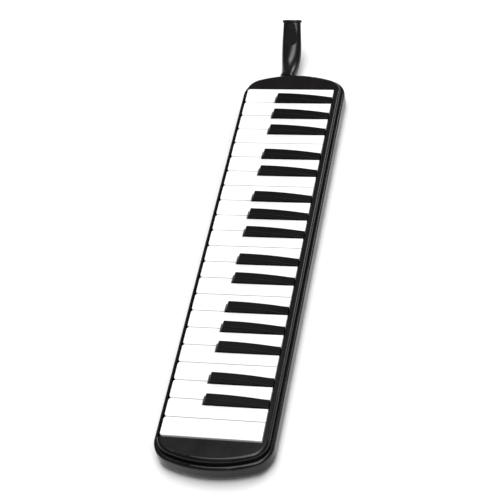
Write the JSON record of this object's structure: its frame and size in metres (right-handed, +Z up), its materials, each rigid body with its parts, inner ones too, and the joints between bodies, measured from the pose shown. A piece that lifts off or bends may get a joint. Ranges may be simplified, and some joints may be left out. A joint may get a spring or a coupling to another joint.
{
  "type": "melodica",
  "caption": "Slim keyboard wind instrument with white and black rocking keys, an internal reed chest, a bent plug-in mouthpiece, a drain valve and a hand strap.",
  "frame": {"origin": "middle of the whole length, mouthpiece included, and of the depth, on the plane that the feet rest on", "axes": "+X from the bass end with the mouthpiece to the treble end, +Y from the player to the back, +Z up"},
  "size_m": [0.4902, 0.0962, 0.0455],
  "materials": {
    "case_plastic": "satin-gloss black",
    "mouthpiece_plastic": "satin black",
    "white_key_plastic": "smooth white",
    "black_key_plastic": "satin black",
    "seal_rubber": "soft",
    "feet_rubber": "matt",
    "screw_steel": "plated",
    "strap_webbing": "woven black",
    "anchor_plastic": "matt black",
    "chest_plastic": "moulded dark grey",
    "board_plastic": "moulded grey",
    "gasket_felt": "pressed felt",
    "reed_plate_metal": "milled",
    "reed_brass": "filed",
    "spring_metal": "spring tempered",
    "button_plastic": "matt black"
  },
  "bodies": {
    "case": {"lower_case": "case_plastic", "upper_case": "case_plastic", "socket_collar": "case_plastic", "case_screws": "screw_steel", "reed_plate_screws": "screw_steel", "key_rod": "screw_steel", "rubber_feet": "feet_rubber", "hand_strap": "strap_webbing", "strap_anchors": "anchor_plastic", "wind_chest": "chest_plastic", "pallet_board": "board_plastic", "chest_gasket": "gasket_felt", "front_felt": "gasket_felt", "reed_plate_low": "reed_plate_metal", "reed_plate_high": "reed_plate_metal", "reeds_low": "reed_brass", "reeds_high": "reed_brass", "spring_comb": "spring_metal", "drain_spring": "spring_metal"},
    "key_f3": {"key_f3": "white_key_plastic"},
    "key_f3_sharp": {"key_f3_sharp": "black_key_plastic"},
    "key_g3": {"key_g3": "white_key_plastic"},
    "key_g3_sharp": {"key_g3_sharp": "black_key_plastic"},
    "key_a3": {"key_a3": "white_key_plastic"},
    "key_a3_sharp": {"key_a3_sharp": "black_key_plastic"},
    "key_b3": {"key_b3": "white_key_plastic"},
    "key_c4": {"key_c4": "white_key_plastic"},
    "key_c4_sharp": {"key_c4_sharp": "black_key_plastic"},
    "key_d4": {"key_d4": "white_key_plastic"},
    "key_d4_sharp": {"key_d4_sharp": "black_key_plastic"},
    "key_e4": {"key_e4": "white_key_plastic"},
    "key_f4": {"key_f4": "white_key_plastic"},
    "key_f4_sharp": {"key_f4_sharp": "black_key_plastic"},
    "key_g4": {"key_g4": "white_key_plastic"},
    "key_g4_sharp": {"key_g4_sharp": "black_key_plastic"},
    "key_a4": {"key_a4": "white_key_plastic"},
    "key_a4_sharp": {"key_a4_sharp": "black_key_plastic"},
    "key_b4": {"key_b4": "white_key_plastic"},
    "key_c5": {"key_c5": "white_key_plastic"},
    "key_c5_sharp": {"key_c5_sharp": "black_key_plastic"},
    "key_d5": {"key_d5": "white_key_plastic"},
    "key_d5_sharp": {"key_d5_sharp": "black_key_plastic"},
    "key_e5": {"key_e5": "white_key_plastic"},
    "key_f5": {"key_f5": "white_key_plastic"},
    "key_f5_sharp": {"key_f5_sharp": "black_key_plastic"},
    "key_g5": {"key_g5": "white_key_plastic"},
    "key_g5_sharp": {"key_g5_sharp": "black_key_plastic"},
    "key_a5": {"key_a5": "white_key_plastic"},
    "key_a5_sharp": {"key_a5_sharp": "black_key_plastic"},
    "key_b5": {"key_b5": "white_key_plastic"},
    "key_c6": {"key_c6": "white_key_plastic"},
    "key_c6_sharp": {"key_c6_sharp": "black_key_plastic"},
    "key_d6": {"key_d6": "white_key_plastic"},
    "key_d6_sharp": {"key_d6_sharp": "black_key_plastic"},
    "key_e6": {"key_e6": "white_key_plastic"},
    "key_f6": {"key_f6": "white_key_plastic"},
    "mouthpiece": {"mouthpiece": "mouthpiece_plastic", "mouthpiece_ring": "seal_rubber"},
    "drain_valve": {"drain_button": "button_plastic", "drain_pad": "seal_rubber"}
  },
  "joints": [
    {"name": "key_f3_hinge", "type": "hinge", "parent": "case", "child": "key_f3", "pos_m": [0.02792, 0.014, 0.0186], "axis": [1, 0, 0], "range_deg": [0, 4.2], "stiffness_Nm_per_rad": 0.75, "springref_deg": -6.88, "deforming": ["spring_comb"]},
    {"name": "key_f3_sharp_hinge", "type": "hinge", "parent": "case", "child": "key_f3_sharp", "pos_m": [0.02792, 0.014, 0.0186], "axis": [1, 0, 0], "range_deg": [0, 6.5], "stiffness_Nm_per_rad": 0.35, "springref_deg": -6.88, "deforming": ["spring_comb"]},
    {"name": "key_g3_hinge", "type": "hinge", "parent": "case", "child": "key_g3", "pos_m": [0.02792, 0.014, 0.0186], "axis": [1, 0, 0], "range_deg": [0, 4.2], "stiffness_Nm_per_rad": 0.75, "springref_deg": -6.88, "deforming": ["spring_comb"]},
    {"name": "key_g3_sharp_hinge", "type": "hinge", "parent": "case", "child": "key_g3_sharp", "pos_m": [0.02792, 0.014, 0.0186], "axis": [1, 0, 0], "range_deg": [0, 6.5], "stiffness_Nm_per_rad": 0.35, "springref_deg": -6.88, "deforming": ["spring_comb"]},
    {"name": "key_a3_hinge", "type": "hinge", "parent": "case", "child": "key_a3", "pos_m": [0.02792, 0.014, 0.0186], "axis": [1, 0, 0], "range_deg": [0, 4.2], "stiffness_Nm_per_rad": 0.75, "springref_deg": -6.88, "deforming": ["spring_comb"]},
    {"name": "key_a3_sharp_hinge", "type": "hinge", "parent": "case", "child": "key_a3_sharp", "pos_m": [0.02792, 0.014, 0.0186], "axis": [1, 0, 0], "range_deg": [0, 6.5], "stiffness_Nm_per_rad": 0.35, "springref_deg": -6.88, "deforming": ["spring_comb"]},
    {"name": "key_b3_hinge", "type": "hinge", "parent": "case", "child": "key_b3", "pos_m": [0.02792, 0.014, 0.0186], "axis": [1, 0, 0], "range_deg": [0, 4.2], "stiffness_Nm_per_rad": 0.75, "springref_deg": -6.88, "deforming": ["spring_comb"]},
    {"name": "key_c4_hinge", "type": "hinge", "parent": "case", "child": "key_c4", "pos_m": [0.02792, 0.014, 0.0186], "axis": [1, 0, 0], "range_deg": [0, 4.2], "stiffness_Nm_per_rad": 0.75, "springref_deg": -6.88, "deforming": ["spring_comb"]},
    {"name": "key_c4_sharp_hinge", "type": "hinge", "parent": "case", "child": "key_c4_sharp", "pos_m": [0.02792, 0.014, 0.0186], "axis": [1, 0, 0], "range_deg": [0, 6.5], "stiffness_Nm_per_rad": 0.35, "springref_deg": -6.88, "deforming": ["spring_comb"]},
    {"name": "key_d4_hinge", "type": "hinge", "parent": "case", "child": "key_d4", "pos_m": [0.02792, 0.014, 0.0186], "axis": [1, 0, 0], "range_deg": [0, 4.2], "stiffness_Nm_per_rad": 0.75, "springref_deg": -6.88, "deforming": ["spring_comb"]},
    {"name": "key_d4_sharp_hinge", "type": "hinge", "parent": "case", "child": "key_d4_sharp", "pos_m": [0.02792, 0.014, 0.0186], "axis": [1, 0, 0], "range_deg": [0, 6.5], "stiffness_Nm_per_rad": 0.35, "springref_deg": -6.88, "deforming": ["spring_comb"]},
    {"name": "key_e4_hinge", "type": "hinge", "parent": "case", "child": "key_e4", "pos_m": [0.02792, 0.014, 0.0186], "axis": [1, 0, 0], "range_deg": [0, 4.2], "stiffness_Nm_per_rad": 0.75, "springref_deg": -6.88, "deforming": ["spring_comb"]},
    {"name": "key_f4_hinge", "type": "hinge", "parent": "case", "child": "key_f4", "pos_m": [0.02792, 0.014, 0.0186], "axis": [1, 0, 0], "range_deg": [0, 4.2], "stiffness_Nm_per_rad": 0.75, "springref_deg": -6.88, "deforming": ["spring_comb"]},
    {"name": "key_f4_sharp_hinge", "type": "hinge", "parent": "case", "child": "key_f4_sharp", "pos_m": [0.02792, 0.014, 0.0186], "axis": [1, 0, 0], "range_deg": [0, 6.5], "stiffness_Nm_per_rad": 0.35, "springref_deg": -6.88, "deforming": ["spring_comb"]},
    {"name": "key_g4_hinge", "type": "hinge", "parent": "case", "child": "key_g4", "pos_m": [0.02792, 0.014, 0.0186], "axis": [1, 0, 0], "range_deg": [0, 4.2], "stiffness_Nm_per_rad": 0.75, "springref_deg": -6.88, "deforming": ["spring_comb"]},
    {"name": "key_g4_sharp_hinge", "type": "hinge", "parent": "case", "child": "key_g4_sharp", "pos_m": [0.02792, 0.014, 0.0186], "axis": [1, 0, 0], "range_deg": [0, 6.5], "stiffness_Nm_per_rad": 0.35, "springref_deg": -6.88, "deforming": ["spring_comb"]},
    {"name": "key_a4_hinge", "type": "hinge", "parent": "case", "child": "key_a4", "pos_m": [0.02792, 0.014, 0.0186], "axis": [1, 0, 0], "range_deg": [0, 4.2], "stiffness_Nm_per_rad": 0.75, "springref_deg": -6.88, "deforming": ["spring_comb"]},
    {"name": "key_a4_sharp_hinge", "type": "hinge", "parent": "case", "child": "key_a4_sharp", "pos_m": [0.02792, 0.014, 0.0186], "axis": [1, 0, 0], "range_deg": [0, 6.5], "stiffness_Nm_per_rad": 0.35, "springref_deg": -6.88, "deforming": ["spring_comb"]},
    {"name": "key_b4_hinge", "type": "hinge", "parent": "case", "child": "key_b4", "pos_m": [0.02792, 0.014, 0.0186], "axis": [1, 0, 0], "range_deg": [0, 4.2], "stiffness_Nm_per_rad": 0.75, "springref_deg": -6.88, "deforming": ["spring_comb"]},
    {"name": "key_c5_hinge", "type": "hinge", "parent": "case", "child": "key_c5", "pos_m": [0.02792, 0.014, 0.0186], "axis": [1, 0, 0], "range_deg": [0, 4.2], "stiffness_Nm_per_rad": 0.75, "springref_deg": -6.88, "deforming": ["spring_comb"]},
    {"name": "key_c5_sharp_hinge", "type": "hinge", "parent": "case", "child": "key_c5_sharp", "pos_m": [0.02792, 0.014, 0.0186], "axis": [1, 0, 0], "range_deg": [0, 6.5], "stiffness_Nm_per_rad": 0.35, "springref_deg": -6.88, "deforming": ["spring_comb"]},
    {"name": "key_d5_hinge", "type": "hinge", "parent": "case", "child": "key_d5", "pos_m": [0.02792, 0.014, 0.0186], "axis": [1, 0, 0], "range_deg": [0, 4.2], "stiffness_Nm_per_rad": 0.75, "springref_deg": -6.88, "deforming": ["spring_comb"]},
    {"name": "key_d5_sharp_hinge", "type": "hinge", "parent": "case", "child": "key_d5_sharp", "pos_m": [0.02792, 0.014, 0.0186], "axis": [1, 0, 0], "range_deg": [0, 6.5], "stiffness_Nm_per_rad": 0.35, "springref_deg": -6.88, "deforming": ["spring_comb"]},
    {"name": "key_e5_hinge", "type": "hinge", "parent": "case", "child": "key_e5", "pos_m": [0.02792, 0.014, 0.0186], "axis": [1, 0, 0], "range_deg": [0, 4.2], "stiffness_Nm_per_rad": 0.75, "springref_deg": -6.88, "deforming": ["spring_comb"]},
    {"name": "key_f5_hinge", "type": "hinge", "parent": "case", "child": "key_f5", "pos_m": [0.02792, 0.014, 0.0186], "axis": [1, 0, 0], "range_deg": [0, 4.2], "stiffness_Nm_per_rad": 0.75, "springref_deg": -6.88, "deforming": ["spring_comb"]},
    {"name": "key_f5_sharp_hinge", "type": "hinge", "parent": "case", "child": "key_f5_sharp", "pos_m": [0.02792, 0.014, 0.0186], "axis": [1, 0, 0], "range_deg": [0, 6.5], "stiffness_Nm_per_rad": 0.35, "springref_deg": -6.88, "deforming": ["spring_comb"]},
    {"name": "key_g5_hinge", "type": "hinge", "parent": "case", "child": "key_g5", "pos_m": [0.02792, 0.014, 0.0186], "axis": [1, 0, 0], "range_deg": [0, 4.2], "stiffness_Nm_per_rad": 0.75, "springref_deg": -6.88, "deforming": ["spring_comb"]},
    {"name": "key_g5_sharp_hinge", "type": "hinge", "parent": "case", "child": "key_g5_sharp", "pos_m": [0.02792, 0.014, 0.0186], "axis": [1, 0, 0], "range_deg": [0, 6.5], "stiffness_Nm_per_rad": 0.35, "springref_deg": -6.88, "deforming": ["spring_comb"]},
    {"name": "key_a5_hinge", "type": "hinge", "parent": "case", "child": "key_a5", "pos_m": [0.02792, 0.014, 0.0186], "axis": [1, 0, 0], "range_deg": [0, 4.2], "stiffness_Nm_per_rad": 0.75, "springref_deg": -6.88, "deforming": ["spring_comb"]},
    {"name": "key_a5_sharp_hinge", "type": "hinge", "parent": "case", "child": "key_a5_sharp", "pos_m": [0.02792, 0.014, 0.0186], "axis": [1, 0, 0], "range_deg": [0, 6.5], "stiffness_Nm_per_rad": 0.35, "springref_deg": -6.88, "deforming": ["spring_comb"]},
    {"name": "key_b5_hinge", "type": "hinge", "parent": "case", "child": "key_b5", "pos_m": [0.02792, 0.014, 0.0186], "axis": [1, 0, 0], "range_deg": [0, 4.2], "stiffness_Nm_per_rad": 0.75, "springref_deg": -6.88, "deforming": ["spring_comb"]},
    {"name": "key_c6_hinge", "type": "hinge", "parent": "case", "child": "key_c6", "pos_m": [0.02792, 0.014, 0.0186], "axis": [1, 0, 0], "range_deg": [0, 4.2], "stiffness_Nm_per_rad": 0.75, "springref_deg": -6.88, "deforming": ["spring_comb"]},
    {"name": "key_c6_sharp_hinge", "type": "hinge", "parent": "case", "child": "key_c6_sharp", "pos_m": [0.02792, 0.014, 0.0186], "axis": [1, 0, 0], "range_deg": [0, 6.5], "stiffness_Nm_per_rad": 0.35, "springref_deg": -6.88, "deforming": ["spring_comb"]},
    {"name": "key_d6_hinge", "type": "hinge", "parent": "case", "child": "key_d6", "pos_m": [0.02792, 0.014, 0.0186], "axis": [1, 0, 0], "range_deg": [0, 4.2], "stiffness_Nm_per_rad": 0.75, "springref_deg": -6.88, "deforming": ["spring_comb"]},
    {"name": "key_d6_sharp_hinge", "type": "hinge", "parent": "case", "child": "key_d6_sharp", "pos_m": [0.02792, 0.014, 0.0186], "axis": [1, 0, 0], "range_deg": [0, 6.5], "stiffness_Nm_per_rad": 0.35, "springref_deg": -6.88, "deforming": ["spring_comb"]},
    {"name": "key_e6_hinge", "type": "hinge", "parent": "case", "child": "key_e6", "pos_m": [0.02792, 0.014, 0.0186], "axis": [1, 0, 0], "range_deg": [0, 4.2], "stiffness_Nm_per_rad": 0.75, "springref_deg": -6.88, "deforming": ["spring_comb"]},
    {"name": "key_f6_hinge", "type": "hinge", "parent": "case", "child": "key_f6", "pos_m": [0.02792, 0.014, 0.0186], "axis": [1, 0, 0], "range_deg": [0, 4.2], "stiffness_Nm_per_rad": 0.75, "springref_deg": -6.88, "deforming": ["spring_comb"]},
    {"name": "drain_valve_slide", "type": "slide", "parent": "case", "child": "drain_valve", "axis": [0, 0, 1], "range_m": [0, 0.0014], "stiffness_N_per_m": 300, "springref_m": -0.001, "deforming": ["drain_spring"]},
    {"name": "mouthpiece_slide", "type": "slide", "parent": "case", "child": "mouthpiece", "axis": [-1, 0, 0], "range_m": [0, 0.03]}
  ]
}
